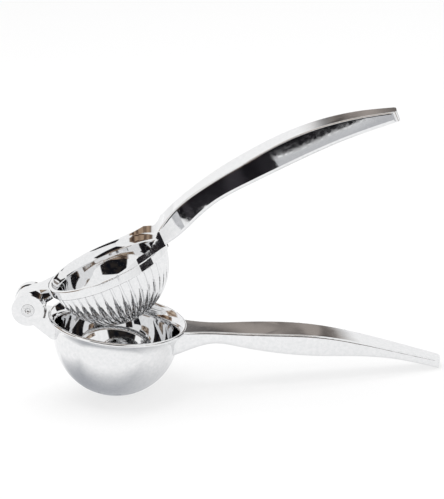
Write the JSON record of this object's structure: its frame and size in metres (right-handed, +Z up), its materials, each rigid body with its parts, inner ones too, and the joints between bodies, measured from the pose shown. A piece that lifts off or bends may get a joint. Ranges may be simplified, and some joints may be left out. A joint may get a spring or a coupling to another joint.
{
  "type": "hinged lemon squeezer",
  "caption": "Hinged hand press for half a lemon: a round bowl with drain holes and a fluted press cup on two long curved levers joined by a pin.",
  "frame": {"origin": "middle of the footprint, on the table that the squeezer rests on", "axes": "+X from the hinge towards the handles' ends, +Y along the hinge axis, +Z up as it rests on its bowl and the lower handle's tip"},
  "size_m": [0.2014, 0.067, 0.1291],
  "materials": {
    "polished_metal": "mirror polished",
    "pin_steel": "turned, ends peened and polished"
  },
  "bodies": {
    "lower_lever": {"lower_bowl": "polished_metal", "lower_handle": "polished_metal", "hinge_fork": "polished_metal", "hinge_pin": "pin_steel"},
    "upper_lever": {"press_cup": "polished_metal", "upper_handle": "polished_metal", "hinge_knuckle": "polished_metal"}
  },
  "joints": [
    {"name": "lever_hinge", "type": "hinge", "parent": "lower_lever", "child": "upper_lever", "pos_m": [-0.09296, 0, 0.04876], "axis": [0, -1, 0], "range_deg": [-28.7, 91.3]}
  ]
}
